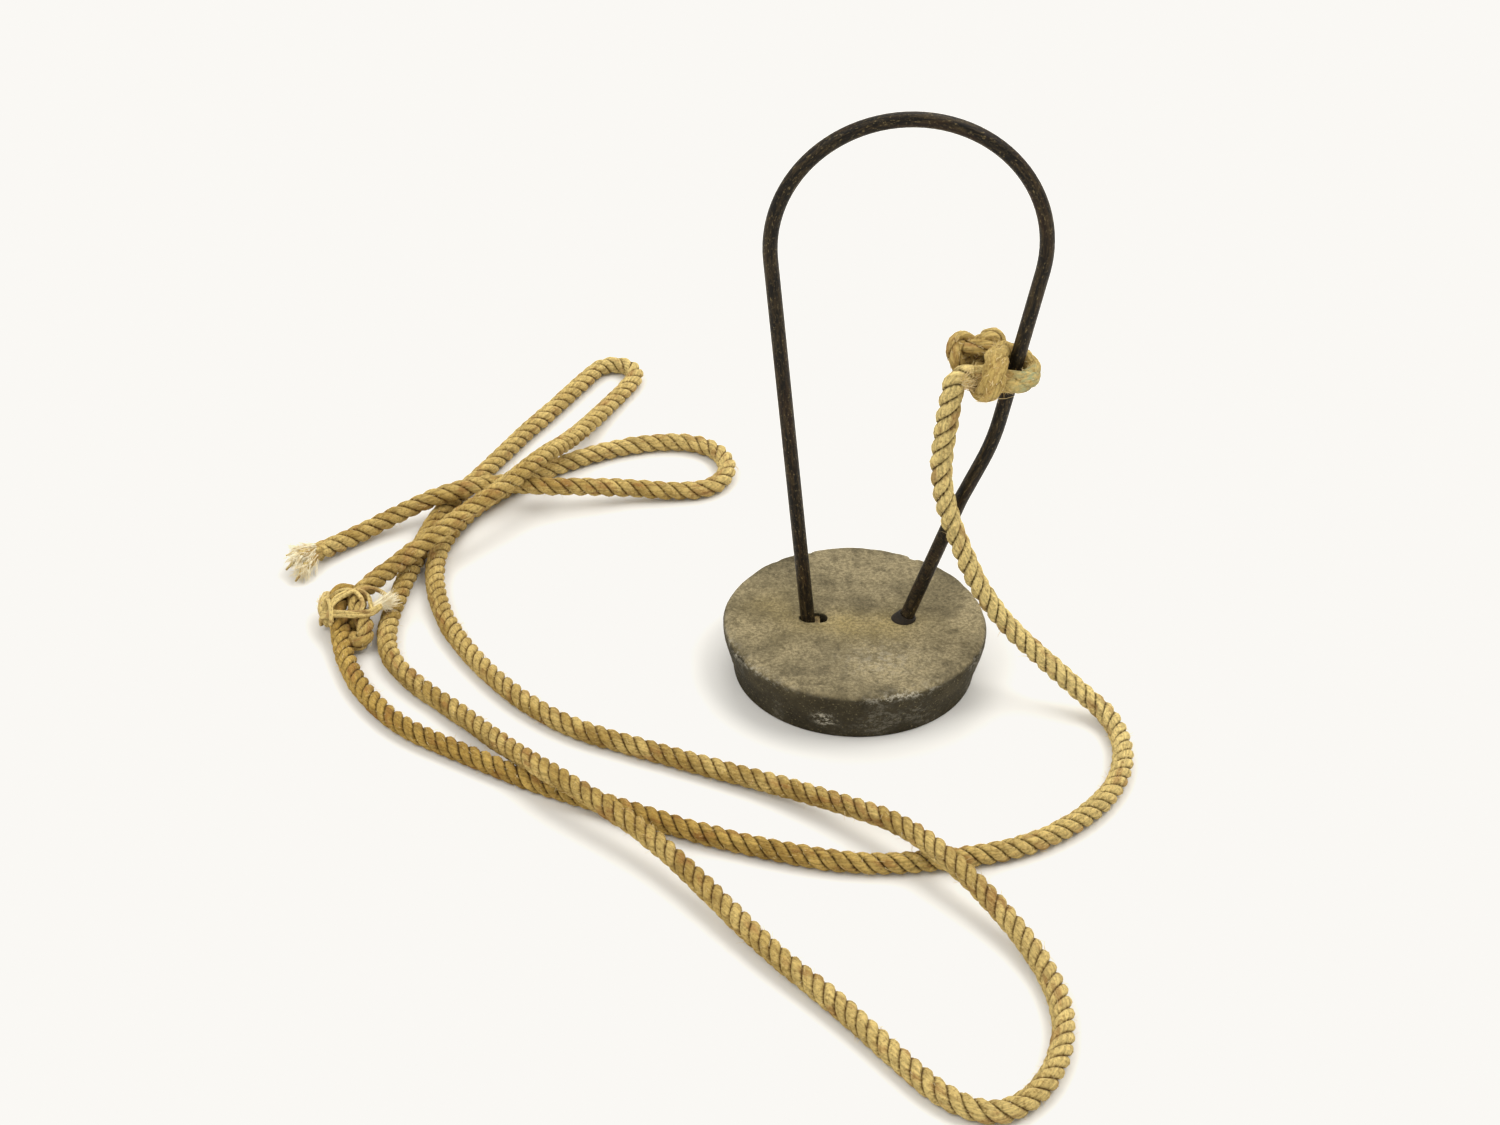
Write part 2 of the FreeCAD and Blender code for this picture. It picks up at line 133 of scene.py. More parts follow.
BAND_YARNS = [
    [(-183.4, 17.0, 2.0), (-183.6, 16.0, 5.2), (-180.6, 13.0, 8.6), (-175.6, 10.6, 10.4),
     (-170.0, 9.8, 10.8), (-165.4, 11.6, 9.9), (-162.6, 15.6, 9.8), (-161.6, 19.4, 9.8)],
    [(-183.2, 19.0, 2.2), (-183.4, 17.6, 6.0), (-180.0, 14.0, 9.6), (-175.0, 11.4, 11.2),
     (-169.6, 10.8, 11.6), (-165.0, 12.8, 10.6), (-162.4, 17.2, 10.3), (-160.8, 22.4, 10.5)],
]
ARCH_YARNS = [
    [(-178.2, 9.6, 8.0), (-179.2, 12.4, 10.4), (-179.0, 16.0, 11.6), (-177.6, 19.4, 12.2),
     (-174.2, 21.8, 12.8), (-170.2, 22.8, 12.8), (-166.8, 20.6, 12.0), (-165.4, 15.6, 11.2),
     (-164.8, 12.8, 10.4)],
    [(-180.0, 11.4, 8.6), (-179.0, 14.6, 11.4), (-176.6, 17.6, 12.5), (-173.0, 21.0, 13.0),
     (-169.2, 23.4, 12.8), (-166.4, 24.6, 12.4), (-163.6, 24.4, 11.4), (-161.4, 24.0, 9.8)],
    [(-181.6, 21.4, 9.4), (-180.4, 19.0, 11.0), (-179.4, 15.4, 11.8), (-178.6, 12.2, 10.8),
     (-178.4, 10.4, 9.2), (-178.8, 9.8, 7.0)],
    [(-180.4, 22.8, 9.4), (-178.6, 23.6, 11.0), (-175.2, 23.8, 12.2), (-171.2, 21.4, 13.0),
     (-168.4, 17.2, 12.6), (-167.8, 13.4, 11.6), (-169.4, 10.6, 11.2)],
]
YARN_RADIUS = 0.82
LEFT_STUB = [(-179.4, 15.0, 4.2), (-182.0, 18.6, 6.0), (-182.6, 22.8, 6.6), (-181.6, 27.0, 6.6)]
# The bail's line, mm: height and sideways place of each leg's corners, then the crown's
# middle, sideways and up, and its radius.
BAIL_LEFT = [(5.0, -14.4), (80.0, -22.6), (152.0, -30.0), (157.5, -30.3)]
BAIL_RIGHT = [(5.0, 12.3), (67.0, 33.0), (89.0, 42.2), (148.0, 53.3), (157.5, 54.3)]
BAIL_CENTRE = (12.0, 157.5)
BAIL_RADIUS = 42.3


# ---- node helpers -----------------------------------------------------------------
SHEEN_ROUGHNESS = 0.6
MIX_A, MIX_B, MIX_COLOUR = 6, 7, 2   # the Mix node's colour sockets


class Shader:
    """A node material under construction, with short calls for the nodes that it needs."""

    def __init__(self, name, roughness=0.8, metallic=0.0, specular=0.3, sheen=0.0):
        self.material = bpy.data.materials.new(name)
        self.material.use_nodes = True
        self.tree = self.material.node_tree
        self.surface = self.tree.nodes["Principled BSDF"]
        self.surface.inputs["Roughness"].default_value = roughness
        self.surface.inputs["Metallic"].default_value = metallic
        self.surface.inputs["Specular IOR Level"].default_value = specular
        self.surface.inputs["Sheen Weight"].default_value = sheen
        self.surface.inputs["Sheen Roughness"].default_value = SHEEN_ROUGHNESS

    def put(self, socket, value):
        """Links an output to a socket, or sets the socket's own value."""
        if isinstance(value, bpy.types.NodeSocket):
            self.tree.links.new(value, socket)
        elif isinstance(value, tuple) and len(value) == 3 and socket.type == "RGBA":
            socket.default_value = (*value, 1.0)
        else:
            socket.default_value = value

    def object_space(self):
        """The piece's own coordinates, in metres."""
        return self.tree.nodes.new("ShaderNodeTexCoord").outputs["Object"]

    def lay_space(self):
        """Millimetres round the rope and along it, held in the rope's UV map."""
        node = self.tree.nodes.new("ShaderNodeUVMap")
        node.uv_map = "lay"
        return node.outputs["UV"]

    def attribute(self, name, output="Fac"):
        node = self.tree.nodes.new("ShaderNodeAttribute")
        node.attribute_name = name
        return node.outputs[output]

    def scaled(self, vector, scale, shift=(0.0, 0.0, 0.0)):
        node = self.tree.nodes.new("ShaderNodeMapping")
        self.put(node.inputs["Vector"], vector)
        node.inputs["Scale"].default_value = scale
        node.inputs["Location"].default_value = shift
        return node.outputs["Vector"]

    def noise(self, vector, scale, detail=4.0, roughness=0.55):
        node = self.tree.nodes.new("ShaderNodeTexNoise")
        self.put(node.inputs["Vector"], vector)
        node.inputs["Scale"].default_value = scale
        node.inputs["Detail"].default_value = detail
        node.inputs["Roughness"].default_value = roughness
        return node.outputs["Fac"]

    def span(self, value, low, high, to_low=0.0, to_high=1.0):
        """A value from low to high stretched to another range, with smooth ends."""
        node = self.tree.nodes.new("ShaderNodeMapRange")
        node.interpolation_type = "SMOOTHSTEP"
        self.put(node.inputs["Value"], value)
        node.inputs["From Min"].default_value = low
        node.inputs["From Max"].default_value = high
        node.inputs["To Min"].default_value = to_low
        node.inputs["To Max"].default_value = to_high
        return node.outputs["Result"]

    def maths(self, operation, a, b=0.0):
        node = self.tree.nodes.new("ShaderNodeMath")
        node.operation = operation
        self.put(node.inputs[0], a)
        self.put(node.inputs[1], b)
        return node.outputs[0]

    def mix(self, amount, a, b):
        node = self.tree.nodes.new("ShaderNodeMix")
        node.data_type = "RGBA"
        node.blend_type = "MIX"
        self.put(node.inputs["Factor"], amount)
        self.put(node.inputs[MIX_A], a)
        self.put(node.inputs[MIX_B], b)
        return node.outputs[MIX_COLOUR]

    def bump(self, height, strength, distance):
        """Adds a layer of relief, in metres, over the ones put on before it."""
        node = self.tree.nodes.new("ShaderNodeBump")
        self.put(node.inputs["Height"], height)
        node.inputs["Strength"].default_value = strength
        node.inputs["Distance"].default_value = distance
        previous = self.surface.inputs["Normal"]
        if previous.is_linked:
            self.tree.links.new(previous.links[0].from_socket, node.inputs["Normal"])
        self.tree.links.new(node.outputs["Normal"], previous)

    def finish(self, base, roughness=None):
        self.put(self.surface.inputs["Base Color"], base)
        if roughness is not None:
            self.put(self.surface.inputs["Roughness"], roughness)
        return self.material


def colour(red, green, blue):
    """An sRGB colour, 0 to 255, as linear values."""
    def linear(value):
        value /= 255
        return value / 12.92 if value <= 0.04045 else ((value + 0.055) / 1.055) ** 2.4
    return (linear(red), linear(green), linear(blue))


# ---- materials ------------------------------------------------------------------------
BLEACHED_ROPE = colour(252, 228, 154)
DIRTY_ROPE = colour(130, 94, 46)
RUSTY_ROPE = colour(150, 94, 50)
PALE_HAIR = colour(222, 200, 128)
VERDIGRIS = colour(150, 172, 140)
FIBRE_GLINT = colour(250, 244, 226)

CAST_DARK = colour(120, 110, 84)
CAST_LIGHT = colour(160, 147, 114)
CAST_BLOTCH = colour(92, 84, 64)
CAST_MOTTLE = colour(78, 70, 52)
CAST_DUST = colour(176, 156, 98)
# Dark for soot on the top and for the painted shade on the side.
CAST_SOOT_AND_SHADE = colour(34, 31, 22)
CAST_GRAIN = colour(62, 56, 42)
CAST_FLECK = colour(172, 160, 124)
CAST_CHALK = colour(206, 200, 182)

ROD_BLACK = colour(17, 14, 10)
ROD_OLIVE = colour(58, 47, 29)
ROD_RUST = colour(50, 32, 19)
# Pale olive for the painted highlights on the rod.
ROD_GLINT = colour(142, 124, 84)


def rope_material(name, light, dark, yarn_and_groove_shade_colour):
    """Twisted natural fibre: yarn lines along the rope, hairs, patches, and painted shade in the lay
    grooves.
    """
    shader = Shader(name, roughness=0.95, specular=0.08, sheen=0.03)
    lay = shader.lay_space()
    groove = shader.attribute("groove")
    pale = shader.attribute("pale")
    stain = shader.attribute("stain")
    yarn = shader.noise(shader.scaled(lay, (1.15, 0.11, 1.0)), 1.0, detail=4.0, roughness=0.65)
    hair = shader.noise(shader.scaled(lay, (4.6, 0.8, 1.0)), 1.0, detail=4.0, roughness=0.7)
    patch = shader.noise(shader.scaled(lay, (0.10, 0.045, 1.0)), 1.0, detail=4.0)
    speck = shader.noise(shader.scaled(lay, (0.95, 0.8, 1.0), (7.0, 3.0, 0.0)), 1.0, detail=5.0,
                         roughness=0.75)
    ragged = shader.noise(shader.scaled(lay, (0.9, 0.5, 1.0), (1.0, 9.0, 0.0)), 1.0, detail=3.0)
    fringe = shader.maths("MULTIPLY", shader.maths("SUBTRACT", speck, 0.5), 0.9)
    base = shader.mix(shader.span(patch, 0.36, 0.64), light, dark)
    rusty = shader.noise(shader.scaled(lay, (0.22, 0.075, 1.0), (5.0, 5.0, 0.0)), 1.0, detail=4.0)
    base = shader.mix(pale, base, BLEACHED_ROPE)
    base = shader.mix(shader.span(speck, 0.46, 0.66, 0.0, 0.66), base, DIRTY_ROPE)
    base = shader.mix(shader.span(rusty, 0.53, 0.66, 0.0, 0.52), base, RUSTY_ROPE)
    base = shader.mix(shader.span(yarn, 0.36, 0.60, 0.40, 0.0), base, yarn_and_groove_shade_colour)
    base = shader.mix(shader.span(hair, 0.50, 0.74, 0.0, 0.50), base, PALE_HAIR)
    stained = shader.maths("MULTIPLY", stain, shader.span(ragged, 0.35, 0.65))
    base = shader.mix(stained, base, VERDIGRIS)
    # Painted shade in the lay grooves: the groove value, frayed by speckle, darkens the rope there.
    depth = shader.maths("MULTIPLY", shader.span(shader.maths("ADD", groove, fringe), 0.24, 0.90),
                         shader.span(ragged, 0.30, 0.58, 0.30, 0.92))
    base = shader.mix(depth, base, yarn_and_groove_shade_colour)
    shader.bump(yarn, 0.8, 0.0008)
    shader.bump(speck, 0.8, 0.0008)
    shader.bump(hair, 0.7, 0.0003)
    return shader.finish(base)


def fibre_material(name, light, dark):
    """Loose fibres: two tones and pale glints."""
    shader = Shader(name, roughness=0.75, specular=0.25, sheen=0.3)
    place = shader.object_space()
    tone = shader.noise(place, 420.0, detail=3.0)
    fine = shader.noise(place, 2600.0, detail=2.0)
    base = shader.mix(shader.span(tone, 0.36, 0.66), light, dark)
    base = shader.mix(shader.span(fine, 0.45, 0.75, 0.0, 0.4), base, FIBRE_GLINT)
    shader.bump(fine, 0.3, 0.0001)
    return shader.finish(base)


def casting_material():
    """Old cast iron: olive-grey mottling, fine grain, dust, dark blotches and chalky scuffs."""
    shader = Shader("weathered_casting", specular=0.1)
    place = shader.object_space()
    cloud = shader.noise(place, 45.0, detail=6.0, roughness=0.65)
    blotch = shader.noise(shader.scaled(place, (1, 1, 1), (0.3, 0.1, 0.2)), 110.0, detail=5.0)
    grain = shader.noise(place, 900.0, detail=3.0, roughness=0.7)
    fleck = shader.noise(shader.scaled(place, (1, 1, 1), (0.5, 0.7, 0.1)), 1300.0, detail=2.0)
    smear = shader.noise(shader.scaled(place, (1, 1, 1.5), (0.9, 0.2, 0.4)), 430.0, detail=6.0,
                         roughness=0.8)
    mottle = shader.noise(shader.scaled(place, (1, 1, 1), (0.2, 0.8, 0.5)), 260.0, detail=5.0,
                          roughness=0.75)
    base = shader.mix(shader.span(cloud, 0.36, 0.62), CAST_DARK, CAST_LIGHT)
    base = shader.mix(shader.span(blotch, 0.52, 0.68, 0.0, 0.55), base, CAST_BLOTCH)
    base = shader.mix(shader.span(mottle, 0.48, 0.64, 0.0, 0.55), base, CAST_MOTTLE)
    base = shader.mix(shader.attribute("dust"), base, CAST_DUST)
    # Soot on the top and painted shade over the side, broken up by the smear noise.
    sooty_and_shaded = shader.maths("MULTIPLY", shader.attribute("soot_and_shade"), shader.span(smear, 0.2, 0.6, 0.80, 1.0))
    base = shader.mix(sooty_and_shaded, base, CAST_SOOT_AND_SHADE)
    base = shader.mix(shader.span(grain, 0.35, 0.66, 0.55, 0.0), base, CAST_GRAIN)
    base = shader.mix(shader.span(fleck, 0.60, 0.74, 0.0, 0.34), base, CAST_FLECK)
    chalky = shader.maths("MULTIPLY", shader.attribute("chalk"), shader.span(smear, 0.46, 0.60))
    base = shader.mix(chalky, base, CAST_CHALK)
    shader.bump(cloud, 0.3, 0.0008)
    shader.bump(grain, 0.7, 0.00028)
    return shader.finish(base, shader.span(blotch, 0.3, 0.7, 0.88, 0.74))


def bail_material():
    """Dark oxidised rod: streaks that run along it, rust, and painted olive-brown highlights on its
    pits.
    """
    shader = Shader("patinated_rod", specular=0.16)
    place = shader.attribute("rod_space", "Vector")
    streak = shader.noise(shader.scaled(place, (0.8, 0.8, 0.12)), 1.0, detail=6.0, roughness=0.8)
    rust = shader.noise(shader.scaled(place, (0.3, 0.3, 0.06), (4.0, 7.0, 3.0)), 1.0, detail=5.0)
    pit_and_glint = shader.noise(shader.scaled(place, (1.6, 1.6, 0.8)), 1.0, detail=4.0, roughness=0.75)
    base = shader.mix(shader.span(streak, 0.44, 0.62), ROD_BLACK, ROD_OLIVE)
    base = shader.mix(shader.span(rust, 0.50, 0.66, 0.0, 0.4), base, ROD_RUST)
    # Painted highlights: pale olive flecks where the pit noise is high stand in for the rod's glints.
    base = shader.mix(shader.span(pit_and_glint, 0.55, 0.72, 0.0, 0.65), base, ROD_GLINT)
    shader.bump(pit_and_glint, 0.6, 0.00016)
    shader.bump(streak, 0.4, 0.0003)
    return shader.finish(base, shader.span(pit_and_glint, 0.3, 0.7, 0.52, 0.34))


def plain_material(name, light, dark, scale, roughness, metallic=0.0):
    """Two tones of mottling and a fine grain, for the small and hidden pieces."""
    shader = Shader(name, metallic=metallic)
    place = shader.object_space()
    cloud = shader.noise(place, scale, detail=5.0, roughness=0.65)
    grain = shader.noise(place, scale * 9.0, detail=3.0, roughness=0.7)
    base = shader.mix(shader.span(cloud, 0.36, 0.66), light, dark)
    base = shader.mix(shader.span(grain, 0.4, 0.75, 0.0, 0.3), base, light)
    shader.bump(grain, 0.5, 0.0002)
    return shader.finish(base, shader.span(cloud, 0.3, 0.7, roughness, roughness - 0.12))


# ---- mesh helpers --------------------------------------------------------------------
def make_object(name, corners, faces, material, smooth=True):
    """A mesh object in the scene; its corners are in metres."""
    mesh = bpy.data.meshes.new(name)
    mesh.from_pydata(corners, [], faces)
    mesh.update()
    if smooth:
        mesh.polygons.foreach_set("use_smooth", [True] * len(mesh.polygons))
    mesh.materials.append(material)
    obj = bpy.data.objects.new(name, mesh)
    bpy.context.scene.collection.objects.link(obj)
    return obj


def spline_points(points):
    """Points along the NURBS line of a route, in mm."""
    curve = bpy.data.curves.new("route", "CURVE")
    curve.dimensions = "3D"
    spline = curve.splines.new("NURBS")
    spline.points.add(len(points) - 1)
    for corner, place in zip(spline.points, points):
        corner.co = (*[value * MM for value in place], 1.0)
    spline.order_u = 3
    spline.use_endpoint_u = True
    spline.resolution_u = ROUTE_STEPS
    holder = bpy.data.objects.new("route", curve)
    bpy.context.scene.collection.objects.link(holder)
    mesh = bpy.data.meshes.new_from_object(holder)
    line = np.array([vertex.co for vertex in mesh.vertices], float) / MM
    bpy.data.objects.remove(holder)
    bpy.data.curves.remove(curve)
    bpy.data.meshes.remove(mesh)
    return line


def resampled(line, step):
    """Evenly spaced points along a line, and how far along each one is."""
    gaps = np.linalg.norm(np.diff(line, axis=0), axis=1)
    along = np.concatenate(([0.0], np.cumsum(gaps)))
    count = max(3, int(round(along[-1] / step)) + 1)
    wanted = np.linspace(0, along[-1], count)
    return np.stack([np.interp(wanted, along, line[:, axis]) for axis in range(3)], 1), wanted


def carried_frames(centre):
    """Tangents and two side directions that turn no more than the line does."""
    tangent = np.gradient(centre, axis=0)
    tangent /= np.linalg.norm(tangent, axis=1)[:, None]
    start = np.cross(tangent[0], (0.0, 0.0, 1.0))
    if np.linalg.norm(start) < 1e-3:
        start = np.cross(tangent[0], (0.0, 1.0, 0.0))
    side = np.zeros_like(centre)
    side[0] = start / np.linalg.norm(start)
    for index in range(1, len(centre)):
        moved = side[index - 1] - tangent[index] * side[index - 1].dot(tangent[index])
        side[index] = moved / np.linalg.norm(moved)
    return tangent, side, np.cross(tangent, side)


def strand_profile(steps, depth):
    """Angles round the rope, radius shares and groove values; the first angle is a groove."""
    count = STRANDS * steps
    angle = np.arange(count) * 2 * math.pi / count
    lobe = np.abs(np.sin(angle * STRANDS / 2)) ** LOBE_ROUNDNESS
    return angle, 1 - depth * (1 - lobe), 1 - lobe


def add_float(mesh, name, values):
    """One value per corner of a mesh, for its material to read."""
    attribute = mesh.attributes.new(name, "FLOAT", "POINT")
    attribute.data.foreach_set("value", np.asarray(values, np.float32))


def pressed(offset, directions, thin, wide):
    """Section offsets squeezed along a direction at each ring and spread across it."""
    amount = np.einsum("rki,ri->rk", offset, directions)
    along = amount[:, :, None] * directions[:, None, :]
    return along * thin + (offset - along) * wide


def rope_faces(arc, drift, along, radius):
    """Faces of a rope's skin with an end cap at both tips, and their places in the lay map, mm."""
    count, rings = len(arc), len(along)
    faces = []
    uvs = []
    for ring in range(rings - 1):
        base = ring * count
        for k in range(count):
            after = (k + 1) % count
            right = arc[k] + arc[1]
            faces.append((base + k, base + after, base + count + after, base + count + k))
            uvs.extend((arc[k] + drift[ring], along[ring], right + drift[ring], along[ring],
                        right + drift[ring + 1], along[ring + 1],
                        arc[k] + drift[ring + 1], along[ring + 1]))
    first_tip, last_tip = rings * count, rings * count + 1
    last = (rings - 1) * count
    for k in range(count):
        after = (k + 1) % count
        faces.append((after, k, first_tip))
        faces.append((last + k, last + after, last_tip))
        uvs.extend((arc[k], 0.0, arc[k], 0.0, arc[k], -radius))
        uvs.extend((arc[k], along[-1], arc[k], along[-1], arc[k], along[-1] + radius))
    return faces, uvs


def rope_mesh(name, line, material, radius=ROPE_RADIUS, pitch=LAY_PITCH, depth=GROOVE_DEPTH,
              phase=0.0, shape=None, paint=None, press=None, steps=STRAND_STEPS, step=RING_STEP):
    """A laid rope round a line: one closed skin whose three lobes turn right-handed.

    pitch is a length or a function of the point, and shape(s, length) scales the radius.
    paint(s, point) returns a ring's pale and stain values. press(s, point) returns the
    direction, thinness and width of a flattened section.
    """
    centre, along = resampled(line, step)
    tangent, side, up = carried_frames(centre)
    angle, share, groove = strand_profile(steps, depth)
    count, rings = len(angle), len(centre)
    rate = np.array([2 * math.pi / (pitch(point) if callable(pitch) else pitch) for point in centre])
    steps_along = np.diff(along, prepend=0.0)
    turn = phase + np.cumsum(rate * steps_along)
    theta = angle[None, :] + turn[:, None]
    wobble = np.array([
        SLOW_WOBBLE * noise.noise((s * 0.11, 3.1 + phase, 0.0))
        + QUICK_WOBBLE * noise.noise((s * 0.5, 9.7, phase))
        for s in along])
    grit = np.random.default_rng(rings).normal(0.0, FIBRE_LUMPS, (rings, count))
    grit = (grit + np.roll(grit, 1, 0) + np.roll(grit, 1, 1)) / 2
    reach = radius * share[None, :] * (1 + wobble[:, None]) + grit * min(1.0, radius / 2)
    if shape is not None:
        reach = reach * np.array([shape(s, along[-1]) for s in along])[:, None]
    offset = ((reach * np.cos(theta))[:, :, None] * side[:, None, :]
              + (reach * np.sin(theta))[:, :, None] * up[:, None, :])
    if press is not None:
        rows = [press(s, point) for s, point in zip(along, centre)]
        directions = np.array([row[0] for row in rows], float)
        directions -= tangent * np.einsum("ri,ri->r", directions, tangent)[:, None]
        directions /= np.linalg.norm(directions, axis=1)[:, None]
        thin = np.array([row[1] for row in rows])[:, None, None]
        wide = np.array([row[2] for row in rows])[:, None, None]
        offset = pressed(offset, directions, thin, wide)
    flat = np.concatenate(((centre[:, None, :] + offset).reshape(-1, 3), centre[:1], centre[-1:]))
    flat[:, 2] = np.maximum(flat[:, 2], FLOOR_GAP)
    faces, uvs = rope_faces(angle * radius, turn * radius, along, radius)
    obj = make_object(name, (flat * MM).tolist(), faces, material)
    layer = obj.data.uv_layers.new(name="lay")
    layer.data.foreach_set("uv", np.array(uvs, np.float32))
    painted = np.zeros((rings, 2))
    if paint is not None:
        painted = np.array([paint(s, point) for s, point in zip(along, centre)], float)
    # The groove value marks where the material paints shade between the strands.
    strength = min(1.0, depth / GROOVE_DEPTH)
    add_float(obj.data, "groove", np.concatenate((np.tile(groove * strength, rings), (0.6, 0.6))))
    for column, attribute in enumerate(("pale", "stain")):
        values = painted[:, column]
        add_float(obj.data, attribute, np.concatenate((np.repeat(values, count), values[[0, -1]])))
    return obj, centre


def fibre_bundle(name, threads, material):
    """Loose fibres as thin closed tubes; each thread is (points in mm, radius in mm)."""
    corners = []
    faces = []
    corners_round = 4
    taper = 0.75                     # how much of its radius a thread loses towards its tip
    for points, radius in threads:
        line = np.array(points, float)
        line[:, 2] = np.maximum(line[:, 2], radius + 0.05)
        _, side, up = carried_frames(line)
        start = len(corners)
        for index, point in enumerate(line):
            width = radius * (1 - taper * index / (len(line) - 1))
            for k in range(corners_round):
                angle = k * 2 * math.pi / corners_round
                corner = point + width * (math.cos(angle) * side[index] + math.sin(angle) * up[index])
                corners.append(tuple(corner * MM))
        for index in range(len(line) - 1):
            base = start + index * corners_round
            for k in range(corners_round):
                after = (k + 1) % corners_round
                faces.append((base + k, base + after, base + corners_round + after,
                              base + corners_round + k))
        end = start + (len(line) - 1) * corners_round
        faces.append(tuple(start + k for k in reversed(range(corners_round))))
        faces.append(tuple(end + k for k in range(corners_round)))
    return make_object(name, corners, faces, material)


def curled(rng, start, direction, length, curl, pieces=5):
    """A wavy thread from a point: it sets off along a direction and wanders."""
    point = Vector(start)
    heading = Vector(direction).normalized()
    line = [tuple(point)]
    for _ in range(pieces):
        turn = Vector([rng.uniform(-1, 1) for _ in range(3)]) * curl
        heading = (heading + turn).normalized()
        point = point + heading * (length / pieces)
        line.append(tuple(point))
    return line


def tuft(rng, root, tip, count, root_width, spread, length, radius, curl=0.35):
    """Threads that leave a disc at the root and open out towards the tip."""
    axis = Vector(tip) - Vector(root)
    reach = axis.length
    axis.normalize()
    across = axis.orthogonal().normalized()
    other = axis.cross(across)
    threads = []
    for _ in range(count):
        angle = rng.uniform(0, 2 * math.pi)
        distance = math.sqrt(rng.random())
        outward = across * math.cos(angle) + other * math.sin(angle)
        start = Vector(root) + outward * distance * root_width - axis * rng.uniform(0, 1.5)
        heading = axis + outward * spread * distance * rng.uniform(0.4, 1.2)
        own_length = reach * length * rng.uniform(0.6, 1.1)
        threads.append((curled(rng, start, heading, own_length, curl), radius * rng.uniform(0.7, 1.2)))
    return threads


def surface_fuzz(rng, centre, count, radius, longest, thick=0.085):
    """Stray fibres that stand off a rope's surface, with their greatest length and radius, mm."""
    tangent, side, up = carried_frames(centre)
    threads = []
    for _ in range(count):
        index = rng.randrange(4, len(centre) - 4)
        angle = rng.uniform(0, 2 * math.pi)
        outward = Vector(side[index]) * math.cos(angle) + Vector(up[index]) * math.sin(angle)
        start = Vector(centre[index]) + outward * radius * 0.9
        lean = Vector(tangent[index]) * rng.uniform(-1.6, 1.6)
        sideways = Vector(tangent[index]).cross(outward) * rng.uniform(-0.9, 0.9)
        heading = outward * rng.uniform(0.35, 0.9) + lean + sideways
        length = rng.uniform(FUZZ_SHORTEST, longest)
        line = curled(rng, start, heading, length, 0.3, pieces=4)
        threads.append((line, rng.uniform(thick / 2, thick)))
    return threads


def joined(name, objects):
    """Several meshes as one piece."""
    first = objects[0]
    with bpy.context.temp_override(active_object=first, object=first, selected_objects=objects,
                                   selected_editable_objects=objects):
        bpy.ops.object.join()
    first.name = name
    return first


# ---- the pieces ----------------------------------------------------------------------
# Each rope's third colour darkens the yarn lines and is the painted shade in the lay grooves.
cool_rope = rope_material("rope_long_lay", colour(224, 196, 122), colour(184, 154, 84),
                          colour(76, 50, 22))
warm_rope = rope_material("rope_short_lay", colour(212, 178, 96), colour(172, 138, 66),
                          colour(52, 33, 11))
straw_fibre = fibre_material("straw_fibre", colour(234, 212, 148), colour(196, 162, 92))
white_fibre = fibre_material("bleached_fibre", colour(252, 246, 220), colour(226, 206, 156))
casting = casting_material()
rod = bail_material()
rng = random.Random(20)


def finish_node(name, material):
    node = nodes[name]
    node.data.materials.clear()
    node.data.materials.append(material)


def rod_space(mesh):
    """Gives each corner of the bail its place across the rod and along it, mm."""
    count = len(mesh.vertices)
    place = np.zeros(count * 3)
    mesh.vertices.foreach_get("co", place)
    x, y, z = (place.reshape(-1, 3) / MM).T
    quarter = BAIL_RADIUS * math.pi / 2
    left = x < BAIL_CENTRE[0]
    left_x = np.interp(z, *zip(*BAIL_LEFT))
    right_x = np.interp(z, *zip(*BAIL_RIGHT))
    low = z < BAIL_CENTRE[1]
    turn = np.arctan2(x - BAIL_CENTRE[0], z - BAIL_CENTRE[1])
    past = quarter + BAIL_CENTRE[1] - z
    along = np.where(low, np.where(left, -past, past), BAIL_RADIUS * turn)
    crown = np.hypot(x - BAIL_CENTRE[0], z - BAIL_CENTRE[1]) - BAIL_RADIUS
    leg = np.where(left, left_x - x, x - right_x)
    spot = np.stack([np.where(low, leg, crown), y, along], 1)
    attribute = mesh.attributes.new("rod_space", "FLOAT_VECTOR", "POINT")
    attribute.data.foreach_set("vector", spot.astype(np.float32).ravel())


rod_space(nodes["bail"].data)
finish_node("bail", rod)
finish_node("pole_core", plain_material("pole_steel", colour(112, 104, 94), colour(82, 66, 50),
                                        120.0, 0.55, metallic=0.7))
finish_node("ring_magnet", plain_material("dark_ferrite", colour(52, 52, 54), colour(36, 36, 38),
                                          200.0, 0.7))
resin = plain_material("aged_resin", colour(142, 116, 66), colour(98, 76, 42), 150.0, 0.5)
finish_node("inner_resin", resin)
finish_node("outer_resin", resin)
finish_node("left_braze", plain_material("braze_metal", colour(138, 118, 74), colour(74, 58, 34),
                                         900.0, 0.6, metallic=0.3))
finish_node("right_collar", plain_material("rusted_braze", colour(44, 35, 24), colour(25, 20, 14),
                                           400.0, 0.8))


# ---- the cast shell -------------------------------------------------------------------
SHELL_VOXEL = 0.7 * MM
FOOT_DRAFT = 1.7                     # how far the foot draws in, mm
CORE_CLEAR = 40.0                    # the draft starts this far from the axis, mm
DISC_HEIGHT = 19.05
SWELL = 0.34                         # the skin's unevenness, from wide to fine, mm
LUMPS = 0.16
ROUGHNESS = 0.07
SETTLE = 0.12                        # pulls the uneven skin back in, mm
CHIP_DEPTH = 0.9                     # chips along the rim, mm


def hump(value, middle, width):
    """1 at the middle, falling off smoothly over the width."""
    return math.exp(-((value - middle) / width) ** 2)


def ramped(value, low, high):
    """0 below low, 1 above high, and smooth between them."""
    share = min(1.0, max(0.0, (value - low) / (high - low)))
    return share * share * (3 - 2 * share)


def angle_gap(angle, middle):
    """Degrees between two directions."""
    return abs((angle - middle + 180) % 360 - 180)


